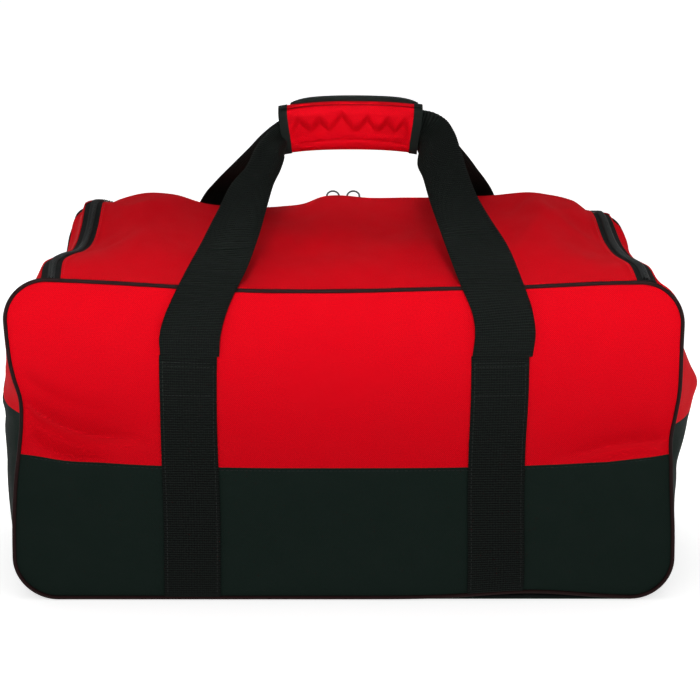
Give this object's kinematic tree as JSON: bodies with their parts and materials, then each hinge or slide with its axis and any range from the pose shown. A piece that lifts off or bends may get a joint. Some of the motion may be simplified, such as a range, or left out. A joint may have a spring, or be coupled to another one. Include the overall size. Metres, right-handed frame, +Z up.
{
  "type": "hockey equipment bag",
  "caption": "Rectangular duffel for ice hockey kit, with a U-zipped lid, webbing carry handles joined by a padded grip, piped edges and a stiff base.",
  "frame": {"origin": "on the ground under the middle of the bag", "axes": "+X along the bag's length, -Y towards the side that the lid is hinged on, +Z up"},
  "size_m": [0.648, 0.3258, 0.4369],
  "materials": {
    "red_fabric": "matt woven polyester",
    "charcoal_fabric": "matt woven polyester",
    "webbing": "ribbed webbing",
    "binding": "woven tape",
    "piping": "satin",
    "zip_tape": "woven tape",
    "zip_coil": "satin",
    "gunmetal": "dark plated",
    "board": "matt",
    "hook_and_loop": "napped"
  },
  "bodies": {
    "bag": {"front_panel_upper": "red_fabric", "front_panel_lower": "charcoal_fabric", "back_panel_upper": "red_fabric", "back_panel_lower": "charcoal_fabric", "left_end_upper": "red_fabric", "left_end_lower": "charcoal_fabric", "right_end_upper": "red_fabric", "right_end_lower": "charcoal_fabric", "bottom_panel": "charcoal_fabric", "base_board": "board", "rear_top_strip": "red_fabric", "front_piping": "piping", "back_piping": "piping", "body_zip_tape": "zip_tape", "body_zip_teeth": "zip_coil", "front_left_webbing": "webbing", "front_right_webbing": "webbing", "back_left_webbing": "webbing", "back_right_webbing": "webbing"},
    "lid": {"lid_panel": "red_fabric", "lid_zip_tape": "zip_tape", "lid_zip_teeth": "zip_coil"},
    "near_handle": {"near_handle_webbing": "webbing", "grip_wrap": "red_fabric", "wrap_binding_left": "binding", "wrap_binding_right": "binding", "hook_strip": "hook_and_loop"},
    "flap": {"grip_flap": "red_fabric", "flap_binding_left": "binding", "flap_binding_right": "binding", "flap_edge_band": "binding", "loop_strip": "hook_and_loop"},
    "far_handle": {"far_handle_webbing": "webbing"},
    "slider_left": {"slider_left_body": "gunmetal", "slider_left_bow": "gunmetal"},
    "slider_right": {"slider_right_body": "gunmetal", "slider_right_bow": "gunmetal"},
    "pull_left": {"pull_left_ring": "gunmetal"},
    "pull_right": {"pull_right_ring": "gunmetal"}
  },
  "joints": [
    {"name": "lid_open", "type": "hinge", "parent": "bag", "child": "lid", "pos_m": [0, -0.1485, 0.2975], "axis": [1, 0, 0], "range_deg": [0, 165]},
    {"name": "near_handle_swing", "type": "hinge", "parent": "bag", "child": "near_handle", "pos_m": [0, -0.1622, 0.2345], "axis": [1, 0, 0], "range_deg": [0, 180]},
    {"name": "far_handle_swing", "type": "hinge", "parent": "bag", "child": "far_handle", "pos_m": [0, 0.1622, 0.2345], "axis": [-1, 0, 0], "range_deg": [0, 180]},
    {"name": "grip_flap_open", "type": "hinge", "parent": "near_handle", "child": "flap", "pos_m": [0.006, 0.0068, 0.3903], "axis": [-1, 0, 0], "range_deg": [0, 150]},
    {"name": "slider_left_slide", "type": "slide", "parent": "bag", "child": "slider_left", "axis": [-1, 0, 0], "range_m": [0, 0.2]},
    {"name": "slider_right_slide", "type": "slide", "parent": "bag", "child": "slider_right", "axis": [1, 0, 0], "range_m": [0, 0.2]},
    {"name": "pull_left_flip", "type": "hinge", "parent": "slider_left", "child": "pull_left", "pos_m": [-0.0115, 0.124, 0.31375], "axis": [1, 0, 0], "range_deg": [0, 115]},
    {"name": "pull_right_flip", "type": "hinge", "parent": "slider_right", "child": "pull_right", "pos_m": [0.0089, 0.124, 0.31375], "axis": [1, 0, 0], "range_deg": [0, 115]}
  ],
  "couplings": [
    {"joint": "near_handle_swing", "follows": "lid_open", "ratio": 1.0909},
    {"joint": "far_handle_swing", "follows": "lid_open", "ratio": 1.0909},
    {"joint": "grip_flap_open", "follows": "lid_open", "ratio": 0.909},
    {"joint": "slider_left_slide", "follows": "lid_open", "m_per_rad": 0.0694},
    {"joint": "slider_right_slide", "follows": "lid_open", "m_per_rad": 0.0694}
  ]
}
